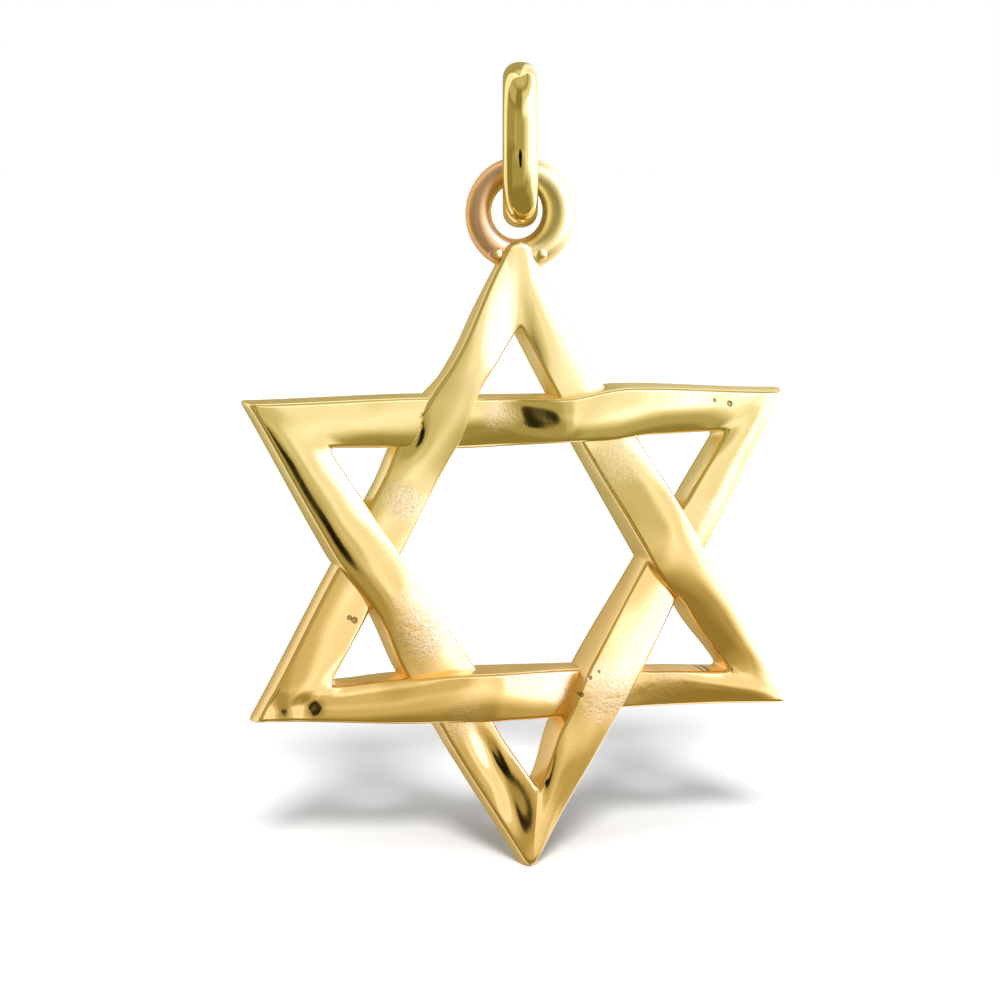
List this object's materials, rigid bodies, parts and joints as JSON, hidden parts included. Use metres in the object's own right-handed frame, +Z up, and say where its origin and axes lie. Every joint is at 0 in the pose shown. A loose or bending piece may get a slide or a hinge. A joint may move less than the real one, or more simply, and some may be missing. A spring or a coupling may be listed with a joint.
{
  "type": "star of david pendant",
  "caption": "Cast gold star of two interlaced triangles with a soldered ring at its top tip, hanging from an oval wire bail.",
  "frame": {"origin": "seat of the chain, at the top of the bail's opening", "axes": "+Z up, the star's face looks along -Y, +X to the star's right as it is seen"},
  "size_m": [0.0202, 0.0042, 0.0291],
  "materials": {
    "cast_gold": "polished yellow gold faces with grainy as-cast patches at the crossings",
    "polished_gold": "polished yellow gold wire"
  },
  "bodies": {
    "bail": {"bail": "polished_gold"},
    "star": {"star": "cast_gold"}
  },
  "joints": [
    {"name": "star_swing", "type": "hinge", "parent": "bail", "child": "star", "pos_m": [0, 0, -0.0026], "axis": [0.9563, -0.2924, 0], "range_deg": [-100, 100]}
  ]
}
